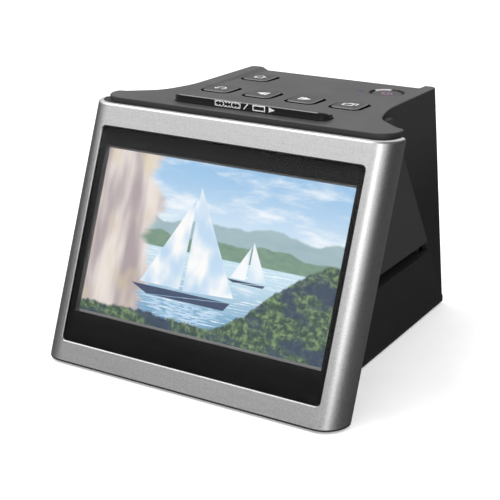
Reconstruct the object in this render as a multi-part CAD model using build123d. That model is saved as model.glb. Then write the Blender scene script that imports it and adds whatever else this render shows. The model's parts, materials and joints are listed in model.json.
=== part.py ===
from build123d import *
from math import atan, cos, degrees, pi, radians, sin, tan
import os

os.makedirs("parts", exist_ok=True)

# Film negative scanner. Lengths in mm. Pieces are laid out from the foot of the screen: y runs to the
# rear from the lower front edge of the frame, z up from the underside of the housing. `place` then
# puts the middle of the footprint at the origin, with the feet on z = 0.

# ---- tilted screen: the display sets the window, the window sets the frame
tilt = 21.0                    # screen leans back from vertical, degrees
active_width = 108.0           # five-inch 800 x 480 display
active_height = 64.8
view_width = active_width + 0.8        # clear field in the black mask
view_height = active_height + 1.5
lcd_width = active_width + 12.7
lcd_height = active_height + 11.0
window_width = view_width + 5.3
window_height = view_height + 19.6
window_low = 8.4               # lower edge of the window, up the slope
view_low = window_low + 12.4
active_low = view_low + 0.8
lcd_low = active_low - 7.2
side_border = 8.75             # metal beside the window
upper_border = 8.8             # and above it
bezel_half_width = window_width / 2 + side_border
rim_height = (window_low + window_height + upper_border) * cos(radians(tilt))
bezel_corner = 9.8
bezel_depth = 11.9             # front face to the rear of the flanks
bezel_wall = 1.8
bezel_edge = 1.1               # rounding of the upper edge
bezel_foot = 0.6               # metal stops this far above the underside
bezel_rear_corner = 2.0        # rear edge of the flanks rolls inward
window_corner = 1.8
window_bevel = 0.35            # bright cut edge of the metal round the window
window_recess = 0.35
window_thickness = 1.5
window_gap = 0.15
carrier_gap = 0.15
foot_gap = 0.05
carrier_front = 2.0            # web between the window and the display
carrier_top_step = 0.2
carrier_view_margin = 1.9
lcd_depth = 4.2
lcd_lip = 0.3
lcd_wall = 0.4
panel_depth = 2.3
pocket_gap = 0.3
back_thickness = 2.0
back_pad = 6.0
cable_mouth = 34.0

# ---- overall form
overall_depth = 141.4          # front edge of the frame to the foot of the rear wall
cover_lip = 1.75
cover_height = rim_height + cover_lip  # underside to the flat top of the cover
base_half_width = 48.8         # side panels, and the drafted walls at their foot
top_half_width = 44.2          # drafted walls at the top
rear_top = overall_depth - 12.3        # rear face at the top
rear_corner = 2.5
shell_wall = 2.2
crease_top = overall_depth - 68.0      # where the rear edge of the side panels would reach the top
panel_lap = 1.0                # guide plates and floor run this far into the side panels
panel_tip = 1.6                # side panels are blunted this far before the rear wall's foot
foot_height = 1.0              # how far the rubber feet stand proud

# ---- cover: wings over the screen, narrow neck, cheeks beside the sunken key panel
wing_thickness = 1.9
cover_front = 42.0
wing_half_width = bezel_half_width - 2.8
wing_corner = 8.0
wing_rear_corner = 2.6
wing_rear_y = 52.4             # rear of the wing where it meets its tip
cover_edge = 0.25
neck_end_y = 88.0              # the concave neck runs out into the straight cheek here
neck_shape = ((0.68, 0.116), (0.333, 0.279), (0.136, 0.52))    # shares of its width and length
deck_thickness = 3.4           # cover over the housing, which holds the keys
deck_front = 52.0
panel_front = 68.0             # the sunken panel starts here, flush
panel_sink = 1.4               # and is this deep at the rear
panel_half_width = 36.5
cheek_inner = 39.2

# ---- keys
key_width = 11.4
key_length = 12.6
key_corner = 2.4
key_gap = 0.4
key_proud = 0.6
key_bevel = 0.35
key_pitch = 19.4
key_row_y = 77.6
home_y = rear_top - 19.6
flange_margin = 1.0
flange_thickness = 1.0
flange_gap = 0.05
key_travel = 0.6
stem_radius = 1.6
bar_half_length = 33.5
bar_front = 47.8
bar_depth = 9.4
bar_corner = 3.8
bar_gap = 0.35
bar_front_height = 3.1         # above the cover, at its front face
bar_rear_height = 1.0
bar_underside = 1.2            # bar body starts this far below the cover's top
power_x = 29.3
power_y = rear_top - 17.1
power_radius = 6.4
power_gap = 0.3
power_ring_radius = 7.6
power_ring_depth = 1.2
power_sink = 0.35
led_x = 18.6
led_y = rear_top - 19.3
led_radius = 0.9
led_gap = 0.05

# ---- film channel
slot_low = 29.4
slot_high = 34.5
slot_front = 33.0
slot_rear = overall_depth - 25.4
guide_thickness = 2.0
floor_thickness = 2.2
joint_gap = 0.1
optic_y = (slot_front + slot_rear) / 2 + 3.5   # optical axis
gate_width = 44.0
gate_length = 44.0
rib = 2.0

# ---- light and camera
diffuser_thickness = 2.0
diffuser_gap = 0.2
light_box_wall = 1.5
light_box_half = 24.0
light_box_flare = 5.3          # the tray narrows this much towards the lamps
board_thickness = 1.6
led_board_height = 4.0         # underside of the lamp board, above the underside of the housing
led_size = 3.5
led_pitch = 9.0
led_board_leg = 1.8
led_height = 0.9
hood_half = 23.0
hood_wall = 1.8
hood_top = 76.0
barrel_radius = 7.0
barrel_length = 12.0
barrel_wall = 1.2
lens_thickness = 2.4
lens_overhang = 4.0            # the barrel hangs this far below its seat
sensor_width = 6.8
sensor_height = 5.6
sensor_thickness = 1.0
sensor_recess = 0.8            # the sensor sits this deep in the underside of its board
sensor_board_size = 34.0

# ---- boards and sockets
main_board_height = 44.0
main_board_half = 41.0
main_board_front = 52.5
main_board_gap = 1.0           # rear edge to the inner face of the rear wall
usb_x, usb_width, usb_height, usb_length = 22.0, 8.9, 3.2, 8.6
hdmi_x, hdmi_width, hdmi_height, hdmi_length = 4.0, 11.2, 3.3, 8.6
card_x, card_width, card_height, card_length = -20.5, 25.6, 2.8, 27.0
socket_shell = 0.4
port_gap = 0.2
button_board_half = 41.5
button_board_front = 54.0
button_board_rear = rear_top - 8.1
button_board_top = cover_height - deck_thickness - 5.0
board_post_front = 65.2
switch_size = 6.0
switch_height = 2.5
plunger_radius = 1.7
plunger_height = 0.5
bar_switch_gap = 2.6           # from the bar to the switches behind it
chip_size = 12.0
chip_height = 1.2

# ---- posts, screws, feet
post_radius = 3.2
post_x, post_y = 37.8, overall_depth - 20.0
front_post_x, front_post_y = 38.0, 22.0
screw_radius = 1.3
screw_head_radius = 2.6
screw_head_height = 1.4
screw_length = 9.0
board_post_radius = 2.6
board_screw_length = 4.5
foot_radius = 4.5
foot_thickness = 1.6
foot_bevel = 0.4
foot_x, foot_front_y, foot_rear_y = 38.0, 33.0, overall_depth - 30.4

front_reach = foot_gap / cos(radians(tilt))
place = Pos(0, -(overall_depth + front_reach) / 2, foot_height)


# ---- shared geometry
def wall_half_width(height):
    """Outer half width of the drafted walls at a height."""
    return base_half_width - (base_half_width - top_half_width) * height / cover_height


def rear_face(height):
    return overall_depth - (overall_depth - rear_top) * height / cover_height


def crease(height):
    """Rear edge of the raised side panels."""
    return overall_depth - (overall_depth - crease_top) * height / cover_height


def screen_back(height):
    """Rear plane of the tilted screen housing."""
    return height * tan(radians(tilt)) + bezel_depth / cos(radians(tilt))


def panel_height(y):
    """The key panel falls gently to the rear."""
    return cover_height - panel_sink * (y - panel_front) / (rear_top - panel_front)


screen_normal = (0, -cos(radians(tilt)), sin(radians(tilt)))
screen_up = (0, sin(radians(tilt)), cos(radians(tilt)))
screen_plane = Plane(origin=(0, 0, 0), x_dir=(1, 0, 0), z_dir=screen_normal)
section_plane = Plane(origin=(0, 0, 0), x_dir=(1, 0, 0), z_dir=screen_up)
slope_top = 130.0              # well past the top of the screen, before it is trimmed level


def box(x0, x1, y0, y1, z0, z1):
    return Pos((x0 + x1) / 2, (y0 + y1) / 2, (z0 + z1) / 2) * Box(x1 - x0, y1 - y0, z1 - z0)


def disc(radius, x, y, z0, z1):
    return Pos(x, y, (z0 + z1) / 2) * Cylinder(radius, z1 - z0)


def side_profile(points, x0, x1):
    """A profile in the side view, given as (y, z), extruded from x0 to x1."""
    face = make_face(Polyline(*points, close=True))
    return extrude(Plane.YZ.offset(x0) * face, amount=x1 - x0)


def slab(sketch, near, far):
    """A sketch on the screen, filled between two depths behind the front face."""
    return extrude(screen_plane.offset(-near) * sketch, amount=near - far)


def screen_rectangle(width, height, low, corner=0.0):
    shape = RectangleRounded(width, height, corner) if corner else Rectangle(width, height)
    return Pos(0, low + height / 2) * shape


def level_cut(solid, low, high):
    """Trims a tilted form with two level planes."""
    reach = 2 * overall_depth
    return solid & box(-reach, reach, -reach, reach, low, high)


def wrap_section(inset, rear, rear_corner_radius=0.0):
    """Half width, flat front, round corners and flanks of the screen housing, in section."""
    half = bezel_half_width - inset
    radius = bezel_corner - inset
    points = [(half - radius, inset), (half, inset + radius)]
    middle = (half - radius * (1 - sin(pi / 4)), inset + radius * (1 - sin(pi / 4)))
    right = [Line((0, inset), points[0]), ThreePointArc(points[0], middle, points[1])]
    roll = rear_corner_radius
    right.append(Line(points[1], (half, rear - roll)))
    if roll:
        bend = (half - roll * (1 - sin(pi / 4)), rear - roll * (1 - sin(pi / 4)))
        right.append(ThreePointArc((half, rear - roll), bend, (half - roll, rear)))
    left = [edge.mirror(Plane.YZ) for edge in right]
    back = Line((roll - half, rear), (half - roll, rear))
    return make_face(right + left + [back])


def wrap_solid(inset, rear, roll=0.0):
    """The screen housing's tilted form, inset from its outer faces, up to a depth."""
    return extrude(section_plane * wrap_section(inset, rear, roll), amount=slope_top, both=True)


# ---- screen
def front_bezel():
    """One bent and pressed aluminium wrap: front plate, round corners, flanks that roll in."""
    outer = level_cut(wrap_solid(0, bezel_depth, bezel_rear_corner), bezel_foot, rim_height)
    top = outer.faces().sort_by(Axis.Z)[-1]
    edges = [edge for edge in top.edges() if edge.center().Y < screen_back(rim_height) - 0.1]
    wrap = fillet(edges, bezel_edge)
    wrap -= wrap_solid(bezel_wall, bezel_depth - bezel_wall)
    mouth = 2 * (bezel_half_width - bezel_rear_corner)
    wrap -= slab(Rectangle(mouth, 4 * slope_top), bezel_depth - 2 * bezel_wall, bezel_depth + 1)
    wide = 2 * window_bevel
    window = slab(screen_rectangle(window_width, window_height, window_low, window_corner), 0, bezel_depth)
    rim = screen_rectangle(window_width + wide, window_height + wide, window_low - window_bevel,
                           window_corner + window_bevel)
    return wrap - window - extrude(screen_plane * rim, amount=-window_bevel, taper=45)


def bezel_carrier():
    """Moulded frame inside the metal: carries window and display, closes the rear."""
    inset = bezel_wall + carrier_gap
    body = wrap_solid(inset, bezel_depth - inset)
    rear_half = bezel_half_width - bezel_rear_corner - carrier_gap
    body += slab(Rectangle(2 * rear_half, 4 * slope_top), bezel_corner, bezel_depth)
    body = level_cut(body, 0, rim_height - carrier_top_step)
    body += level_cut(wrap_solid(foot_gap, bezel_depth, bezel_rear_corner), 0, bezel_foot - foot_gap)
    view = screen_rectangle(view_width + 2 * carrier_view_margin, view_height + 2 * carrier_view_margin,
                            view_low - carrier_view_margin, window_corner)
    pocket = screen_rectangle(lcd_width + 2 * pocket_gap, lcd_height + 2 * pocket_gap, lcd_low - pocket_gap)
    body -= slab(view, 0, bezel_depth)
    body -= slab(pocket, inset + carrier_front, bezel_depth + 1)
    for side in (-1, 1):
        y = front_post_y
        seat = floor_thickness + joint_gap
        lug = side_profile([(screen_back(seat) - 1, seat), (y + post_radius, seat),
                            (y + post_radius, screw_length - 1), (screen_back(screw_length) - 1, screw_length)],
                           -post_radius, post_radius)
        hole = disc(screw_radius, 0, y, 0, screw_length)
        body += Pos(side * front_post_x, 0, 0) * (lug - hole)
    return body


def screen_window():
    size = 2 * window_gap
    face = screen_rectangle(window_width - size, window_height - size, window_low + window_gap, window_corner)
    return slab(face, window_recess, window_recess + window_thickness)


def window_mask():
    """Black print behind the window, with the clear field of the display."""
    near = window_recess + window_thickness
    size = 2 * window_gap
    face = screen_rectangle(window_width - size, window_height - size, window_low + window_gap, window_corner)
    clear = screen_rectangle(view_width, view_height, view_low)
    return slab(face - clear, near, bezel_wall + carrier_gap)


def lcd_near():
    return bezel_wall + carrier_gap + carrier_front


def lcd_frame():
    near = lcd_near()
    outer = slab(screen_rectangle(lcd_width, lcd_height, lcd_low), near, near + lcd_depth)
    inner = slab(screen_rectangle(lcd_width - 2 * lcd_wall, lcd_height - 2 * lcd_wall, lcd_low + lcd_wall),
                 near + lcd_lip, near + lcd_depth + 1)
    active = slab(screen_rectangle(active_width, active_height, active_low), near - 1, near + lcd_lip + 1)
    return outer - inner - active


def lcd_plate(near, far):
    trim = lcd_wall + 0.1
    face = screen_rectangle(lcd_width - 2 * trim, lcd_height - 2 * trim, lcd_low + trim)
    return slab(face, near, far)


def lcd_panel():
    near = lcd_near() + lcd_lip
    return lcd_plate(near, near + panel_depth)


def lcd_backlight():
    near = lcd_near() + lcd_lip + panel_depth
    return lcd_plate(near, lcd_near() + lcd_depth)


def display_back():
    """Plate behind the display, with pads that hold the display forward and a cable mouth."""
    far = bezel_depth - 0.3
    near = far - back_thickness
    gap = pocket_gap
    width, height, low = lcd_width, lcd_height, lcd_low
    plate = slab(screen_rectangle(width, height, low), near, far)
    for x in (-1, 1):
        for s in (low + back_pad, low + height - back_pad):
            pad = Pos(x * (width / 2 - back_pad), s) * Rectangle(back_pad, back_pad)
            plate += slab(pad, lcd_near() + lcd_depth + gap / 3, near)
    mouth = Pos(0, low + height / 4) * RectangleRounded(cable_mouth, 5, 1)
    return plate - slab(mouth, near - 1, far + 1)


# ---- housing
def drafted_block(inset, low, high):
    """The housing's drafted form between two heights, inset from its outer faces."""
    wide, narrow = wall_half_width(low) - inset, wall_half_width(high) - inset
    front_view = make_face(Polyline((-wide, low), (wide, low), (narrow, high), (-narrow, high), close=True))
    block = extrude(Plane.XZ * front_view, amount=2 * overall_depth, both=True)
    block &= side_profile([(0, low), (rear_face(low) - inset, low), (rear_face(high) - inset, high), (0, high)],
                          -base_half_width, base_half_width)
    corners = [edge for edge in block.edges()
               if edge.center().Y > rear_top - 2 * shell_wall and edge.bounding_box().size.Z > 0.9 * (high - low)]
    return fillet(corners, rear_corner)


def cover_outline():
    """Half of the cover's plan: front edge, wing, concave neck, straight cheek; then mirrored."""
    front = Line((0, cover_front), (wing_half_width - wing_corner, cover_front))
    corner = TangentArc(front @ 1, (wing_half_width, cover_front + wing_corner), tangent=(1, 0))
    tip = Line(corner @ 1, (wing_half_width, wing_rear_y - wing_rear_corner + 1.4))
    shoulder = TangentArc(tip @ 1, (wing_half_width - wing_rear_corner, wing_rear_y + 1.2), tangent=(0, 1))
    start = shoulder @ 1
    wide, long = start.X - top_half_width, neck_end_y - start.Y
    points = [(top_half_width + wide * across, start.Y + long * along) for across, along in neck_shape]
    neck = Spline(start, *points, (top_half_width, neck_end_y), tangents=[(-0.87, 0.5), (0, 1)])
    cheek = Line(neck @ 1, (top_half_width, rear_top - rear_corner))
    rear = TangentArc(cheek @ 1, (top_half_width - rear_corner, rear_top), tangent=(0, 1))
    back = Line(rear @ 1, (0, rear_top))
    right = [front, corner, tip, shoulder, neck, cheek, rear, back]
    left = [edge.mirror(Plane.YZ) for edge in right]
    return make_face(right + left)


def panel_recess():
    """Sunken key panel: flush at its front, deeper to the rear, with sloping sides."""
    def section(y, sink):
        half_top = panel_half_width + (cheek_inner - panel_half_width) * sink / panel_sink
        lower = cover_height - sink
        points = [(-panel_half_width, lower), (panel_half_width, lower),
                  (half_top, cover_height), (cheek_inner, cover_height + 1),
                  (-cheek_inner, cover_height + 1), (-half_top, cover_height)]
        plane = Plane(origin=(0, y, 0), x_dir=(1, 0, 0), z_dir=(0, -1, 0))
        return plane * make_face(Polyline(*points, close=True))
    reach = rear_top + 6
    return loft([section(panel_front, 0.02), section(reach, cover_height - panel_height(reach))], ruled=True)


def key_places():
    """Name and centre of each square key."""
    first = -1.5 * key_pitch
    row = ["back_button", "left_button", "right_button", "mode_button"]
    places = {name: (first + i * key_pitch, key_row_y) for i, name in enumerate(row)}
    places["home_button"] = (first, home_y)
    return places


def key_well(x, y):
    gap = 2 * key_gap
    hole = RectangleRounded(key_width + gap, key_length + gap, key_corner + key_gap)
    return Pos(x, y, cover_height - 2 * deck_thickness) * extrude(hole, amount=4 * deck_thickness)


def bar_outline(margin):
    width = 2 * (bar_half_length + margin)
    return Pos(0, bar_front + bar_depth / 2) * RectangleRounded(width, bar_depth + 2 * margin, bar_corner + margin)


def port_cut(x, width, height, low):
    """Opening in the rear wall for one socket, with its own running gap."""
    rear = rear_face(low)
    return box(x - width / 2 - port_gap, x + width / 2 + port_gap, rear - 3 * shell_wall, rear + shell_wall,
               low - port_gap, low + height + port_gap)


def board_posts():
    x = button_board_half - board_post_radius
    between = (key_row_y + home_y) / 2
    return [(sx * x, y) for sx in (-1, 1) for y in (board_post_front, between)]


def top_shell():
    """Cover, side walls and rear wall moulded as one drafted shell, open below and in front."""
    deck_low = cover_height - deck_thickness
    walls = drafted_block(0, 0, cover_height) - drafted_block(shell_wall, -1, deck_low)
    behind = side_profile([(crease(0), 0), (2 * overall_depth, 0), (2 * overall_depth, cover_height),
                           (crease(cover_height), cover_height)], -overall_depth, overall_depth)
    walls &= behind
    wings = Pos(0, 0, cover_height - wing_thickness) * extrude(cover_outline(), amount=wing_thickness)
    deck_half = top_half_width - shell_wall - joint_gap
    deck = box(-deck_half, deck_half, deck_front, rear_top - shell_wall, deck_low, cover_height - wing_thickness)
    shell = walls + wings + deck
    top = shell.faces().filter_by(Axis.Z).sort_by(Axis.Z)[-1]
    shell = chamfer(top.outer_wire().edges(), cover_edge)
    shell -= panel_recess()
    for x, y in key_places().values():
        shell -= key_well(x, y)
    shell -= Pos(0, 0, deck_low - 1) * extrude(bar_outline(bar_gap), amount=2 * deck_thickness)
    shell -= disc(power_radius + power_gap, power_x, power_y, deck_low - 1, cover_height)
    shell -= disc(power_ring_radius, power_x, power_y, panel_height(power_y) - power_ring_depth, cover_height)
    shell -= disc(led_radius + led_gap, led_x, led_y, deck_low - 1, cover_height)
    for x, width, height in ((usb_x, usb_width, usb_height), (hdmi_x, hdmi_width, hdmi_height),
                             (card_x, card_width, card_height)):
        shell -= port_cut(x, width, height, main_board_height + board_thickness)
    for x in (-post_x, post_x):
        post_low = floor_thickness + joint_gap
        shell += disc(post_radius, x, post_y, post_low, deck_low) - disc(screw_radius, x, post_y, 0, screw_length)
    for x, y in board_posts():
        post = disc(board_post_radius, x, y, button_board_top, deck_low)
        shell += post - disc(screw_radius, x, y, button_board_top - 1, deck_low - 1)
    return shell


def side_cheeks(points):
    """The same side panel at both sides: upright outside, drafted inside like the shell's walls."""
    panel = side_profile(points, top_half_width - 2 * shell_wall, base_half_width)
    panel -= drafted_block(shell_wall, -1, cover_height)
    return panel + panel.mirror(Plane.YZ)


def film_gate():
    """Upper half of the film channel: guide plate, raised triangular cheeks, ends of the channel."""
    top = cover_height - wing_thickness - joint_gap
    inner = base_half_width - panel_lap
    cheeks = side_cheeks([(screen_back(slot_high) + joint_gap, slot_high),
                          (crease(slot_high) - joint_gap, slot_high),
                          (crease(top) - joint_gap, top), (screen_back(top) + joint_gap, top)])
    guide = box(-inner, inner, slot_front, slot_rear, slot_high, slot_high + guide_thickness)
    guide -= box(-gate_width / 2, gate_width / 2, optic_y - gate_length / 2, optic_y + gate_length / 2,
                 slot_low, slot_high + 2 * guide_thickness)
    seat = slot_low + joint_gap
    front_end = side_profile([(screen_back(seat) + joint_gap, seat), (slot_front, seat),
                              (slot_front, slot_high + guide_thickness),
                              (screen_back(slot_high + guide_thickness) + joint_gap,
                               slot_high + guide_thickness)], -base_half_width, base_half_width)
    rear_half = wall_half_width(slot_high) - shell_wall - joint_gap
    rear_end = box(-rear_half, rear_half, slot_rear - 0.5, slot_rear + rib, seat, slot_high + guide_thickness)
    rear_end -= box(-rear_half, rear_half, 0, slot_rear, 0, slot_high)
    return cheeks + guide + front_end + rear_end


def base_housing():
    """Floor, lower side panels and the deck that the film holder slides on."""
    inner = base_half_width - panel_lap
    tip = overall_depth - panel_tip
    panels = side_cheeks([(screen_back(0) + joint_gap, 0), (tip, 0),
                          (tip, cover_height * (overall_depth - tip - joint_gap) / (overall_depth - crease_top)),
                          (crease(slot_low) - joint_gap, slot_low),
                          (screen_back(slot_low) + joint_gap, slot_low)])
    floor_rear = rear_face(floor_thickness) - shell_wall - joint_gap
    floor = side_profile([(screen_back(0) + joint_gap, 0), (floor_rear, 0), (floor_rear, floor_thickness),
                          (screen_back(floor_thickness) + joint_gap, floor_thickness)], -inner, inner)
    deck = box(-inner, inner, slot_front, slot_rear, slot_low - guide_thickness, slot_low)
    well = gate_width / 2
    deck -= box(-well, well, optic_y - well, optic_y + well, 0, slot_high)
    body = panels + floor + deck
    for y in (slot_front, slot_rear - 3 * rib):
        body += box(-inner, inner, y, y + rib, floor_thickness, slot_low - guide_thickness)
    for x, y in screw_places():
        body -= disc(screw_radius + joint_gap, x, y, -1, floor_thickness + 1)
        body -= disc(screw_head_radius + joint_gap, x, y, -1, screw_head_height)
    for x, y in foot_places():
        body -= disc(foot_radius + joint_gap, x, y, -1, foot_thickness - foot_height)
    return body


def screw_places():
    front = [(x, front_post_y) for x in (-front_post_x, front_post_x)]
    return front + [(x, post_y) for x in (-post_x, post_x)]


def foot_places():
    return [(x, y) for x in (-foot_x, foot_x) for y in (foot_front_y, foot_rear_y)]


def screw(x, y, seat, length, sign):
    """Pan-head screw: head on one side of its seat, shank on the other."""
    head = disc(screw_head_radius, x, y, *sorted((seat, seat - sign * screw_head_height)))
    shank = disc(screw_radius - 0.1, x, y, *sorted((seat, seat + sign * length)))
    return head + shank


def base_screws():
    length = screw_length - screw_head_height - 0.5
    return Compound([screw(x, y, screw_head_height, length, 1) for x, y in screw_places()])


def rubber_feet():
    feet = []
    for x, y in foot_places():
        foot = disc(foot_radius, x, y, -foot_height, foot_thickness - foot_height)
        lower = foot.edges().sort_by(Axis.Z)[0]
        feet.append(chamfer(lower, foot_bevel))
    return Compound(feet)


# ---- light below the film
def diffuser():
    half = gate_width / 2 - diffuser_gap
    face = Pos(0, optic_y) * Rectangle(2 * half, 2 * half)
    return Pos(0, 0, slot_low - diffuser_thickness - 0.1) * extrude(face, amount=diffuser_thickness)


def light_box():
    """White reflector tray that flares towards the diffuser."""
    low = led_board_height + board_thickness
    high = slot_low - guide_thickness - 0.1
    slope = degrees(atan(light_box_flare / (high - low)))

    def flare(inset, bottom, top):
        wide = 2 * (light_box_half - inset)
        return extrude(Pos(0, optic_y, top) * Rectangle(wide, wide), amount=bottom - top, taper=slope)
    return flare(0, low, high) - flare(light_box_wall, low - 1, high + 1)


def led_board():
    half = light_box_half
    board = box(-half, half, optic_y - half, optic_y + half, led_board_height, led_board_height + board_thickness)
    for x in (-1, 1):
        for y in (-1, 1):
            centre = (x * (half - 2 * led_board_leg), optic_y + y * (half - 2 * led_board_leg))
            board += disc(led_board_leg, *centre, floor_thickness, led_board_height)
    return board


def backlight_leds():
    top = led_board_height + board_thickness
    spots = GridLocations(led_pitch, led_pitch, 3, 3)
    lamps = [Pos(0, optic_y, top + led_height / 2) * spot * Box(led_size, led_size, led_height) for spot in spots]
    return Compound([chamfer(lamp.edges().group_by(Axis.Z)[-1], 0.3) for lamp in lamps])


# ---- camera above the film
def lens_hood():
    """Dark tower between the guide plate and the sensor board; it carries the lens."""
    low = slot_high + guide_thickness
    half = hood_half
    outer = box(-half, half, optic_y - half, optic_y + half, low, hood_top)
    inner = box(-half + hood_wall, half - hood_wall, optic_y - half + hood_wall, optic_y + half - hood_wall,
                low - 1, hood_top - hood_wall)
    tower = fillet(outer.edges().filter_by(Axis.Z), 3) - inner
    seat = hood_top - barrel_length
    tower += disc(barrel_radius + 2, 0, optic_y, seat, hood_top)
    return tower - disc(barrel_radius + 0.1, 0, optic_y, seat - 1, hood_top + 1)


def lens_barrel():
    low = barrel_low()
    outer = disc(barrel_radius, 0, optic_y, low, hood_top - 1)
    outer = chamfer(outer.edges().filter_by(GeomType.CIRCLE).sort_by(Axis.Z)[0], 0.6)
    bore = disc(barrel_radius - barrel_wall, 0, optic_y, low - 1, hood_top)
    stop = disc(barrel_radius - 0.2, 0, optic_y, low + 5.4, low + 6.4) - disc(2.2, 0, optic_y, low, low + 9)
    return (outer - bore) + stop


def lens(low, facing):
    """Plano-convex glass: one flat face, one spherical, ground to the barrel's bore."""
    radius = barrel_radius - barrel_wall - 0.02
    sagitta = lens_thickness / 2
    curvature = (radius ** 2 + sagitta ** 2) / (2 * sagitta)
    flat = low if facing > 0 else low + lens_thickness
    centre = flat + facing * (lens_thickness - curvature)
    return disc(radius, 0, optic_y, low, low + lens_thickness) & Pos(0, optic_y, centre) * Sphere(curvature)


def barrel_low():
    return hood_top - barrel_length - lens_overhang


def lens_front():
    return lens(barrel_low() + 1.0, 1)


def lens_rear():
    return lens(barrel_low() + 8.0, -1)


def sensor_board():
    half = sensor_board_size / 2
    low = hood_top
    board = box(-half, half, optic_y - half, optic_y + half, low, low + board_thickness)
    recess = disc(barrel_radius - 2 * barrel_wall, 0, optic_y, low - 1, low + sensor_recess)
    return fillet(board.edges().filter_by(Axis.Z), 2) - recess


def image_sensor():
    half_w, half_h = sensor_width / 2, sensor_height / 2
    high = hood_top + sensor_recess
    body = box(-half_w, half_w, optic_y - half_h, optic_y + half_h, high - sensor_thickness, high)
    return chamfer(body.edges().group_by(Axis.Z)[0], 0.15)


# ---- boards and sockets
def board_rear():
    return rear_face(main_board_height) - shell_wall - main_board_gap


def main_board():
    low = main_board_height
    rear = board_rear()
    board = box(-main_board_half, main_board_half, main_board_front, rear, low, low + board_thickness)
    board -= box(-hood_half - 1, hood_half + 1, optic_y - hood_half - 1, optic_y + hood_half + 1, 0, cover_height)
    for x in (-post_x, post_x):
        board -= disc(post_radius + 0.5, x, post_y, 0, cover_height)
        board -= box(*sorted((x, 2 * x)), post_y - post_radius - 0.5, post_y + post_radius + 0.5, 0, cover_height)
    return board


def gate_posts():
    """Pillars that carry the main board above the guide plate."""
    low = slot_high + guide_thickness
    spots = [(sx * (hood_half + 9), y) for sx in (-1, 1) for y in (main_board_front + 5, slot_rear - 12)]
    return Compound([disc(2.5, x, y, low, main_board_height) for x, y in spots])


def socket(x, width, height, length, corner):
    """Metal-shelled socket, open to the rear, with its contact tongue."""
    low = main_board_height + board_thickness
    face = RectangleRounded(width, height, corner)
    mouth = RectangleRounded(width - 2 * socket_shell, height - 2 * socket_shell, max(corner - socket_shell, 0.1))
    plane = Plane(origin=(x, rear_face(low) - 0.5, low + height / 2), x_dir=(1, 0, 0), z_dir=(0, -1, 0))
    shell = extrude(plane * face, amount=length) - extrude(plane * mouth, amount=length - 1)
    tongue = RectangleRounded(width - 4 * socket_shell - 1.6, 0.7, 0.1)
    return shell + extrude(plane.offset(1.2) * tongue, amount=length - 2)


def usb_c_port():
    return socket(usb_x, usb_width, usb_height, usb_length, 1.3)


def mini_hdmi_port():
    return socket(hdmi_x, hdmi_width, hdmi_height, hdmi_length, 0.6)


def sd_card_slot():
    return socket(card_x, card_width, card_height, card_length, 0.4)


def processor():
    low = main_board_height + board_thickness
    y = (optic_y + hood_half + rear_face(low) - usb_length) / 2
    half = chip_size / 2
    chip = box(usb_x - half, usb_x + half, y - half, y + half, low, low + chip_height)
    return chamfer(chip.edges().group_by(Axis.Z)[-1], 0.3)


def button_board():
    top = button_board_top
    board = box(-button_board_half, button_board_half, button_board_front, button_board_rear,
                top - board_thickness, top)
    for side in (-1, 1):
        notch = sorted((side * (post_x - post_radius - 1), side * 2 * post_x))
        board -= box(*notch, post_y - post_radius - 1, overall_depth, 0, cover_height)
    for x, y in board_posts():
        board -= disc(screw_radius + joint_gap, x, y, 0, cover_height)
    return board


def board_screws():
    seat = button_board_top - board_thickness
    return Compound([screw(x, y, seat, board_screw_length, 1) for x, y in board_posts()])


def switch_places():
    spots = list(key_places().values())
    spots += [(sx * bar_half_length * 0.7, bar_front + bar_depth + bar_switch_gap) for sx in (-1, 1)]
    return spots + [(power_x, power_y)]


def tact_switches():
    """One switch under each key, two under the long bar."""
    low = button_board_top
    switches = []
    for x, y in switch_places():
        half = switch_size / 2
        body = box(x - half, x + half, y - half, y + half, low, low + switch_height)
        switches.append(body + disc(plunger_radius, x, y, low + switch_height, plunger_top()))
    return Compound(switches)


def plunger_top():
    return button_board_top + switch_height + plunger_height


# ---- keys
def flange_top():
    return cover_height - deck_thickness - flange_gap


def stem(x, y):
    """Post that meets the switch at the end of the key's travel."""
    return disc(stem_radius, x, y, plunger_top() + key_travel + 0.05, flange_top() - flange_thickness + 0.2)


def square_key(x, y):
    """Key cap with a bevelled top, a retaining flange and a stem."""
    top = panel_height(y) + key_proud
    low = flange_top()
    cap = Pos(x, y, low) * extrude(RectangleRounded(key_width, key_length, key_corner), amount=top - low)
    cap = chamfer(cap.edges().group_by(Axis.Z)[-1], key_bevel)
    margin = 2 * (flange_margin + key_gap)
    flange = RectangleRounded(key_width + margin, key_length + margin, key_corner)
    cap += Pos(x, y, low - flange_thickness) * extrude(flange, amount=flange_thickness)
    return cap + stem(x, y)


def capture_bar():
    """Long release bar: upright front, top that falls to the rear, two stems."""
    low = cover_height - bar_underside + key_travel
    front, rear = bar_front, bar_front + bar_depth
    wedge = side_profile([(front, low), (rear, low), (rear, cover_height + bar_rear_height),
                          (front, cover_height + bar_front_height)], -bar_half_length, bar_half_length)
    bar = wedge & extrude(bar_outline(0), amount=2 * cover_height)
    bar = chamfer(bar.faces().sort_by(Axis.Z)[-1].edges(), key_bevel)
    neck = box(-bar_half_length + 4, bar_half_length - 4, deck_front + 1, rear - 0.4, flange_top() - 0.5, low)
    reach = rear + 4.2
    flange = box(-bar_half_length - 1, bar_half_length + 1, deck_front + 1, reach,
                 flange_top() - flange_thickness, flange_top())
    bar += neck + flange
    for x, y in switch_places()[5:7]:
        bar += stem(x, y)
    return bar


def power_button():
    top = panel_height(power_y) - power_sink
    cap = disc(power_radius, power_x, power_y, flange_top() - 0.5, top)
    cap = chamfer(cap.edges().filter_by(GeomType.CIRCLE).sort_by(Axis.Z)[-1], key_bevel)
    flange = disc(power_radius + flange_margin, power_x, power_y, flange_top() - flange_thickness, flange_top())
    return cap + flange + stem(power_x, power_y)


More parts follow.
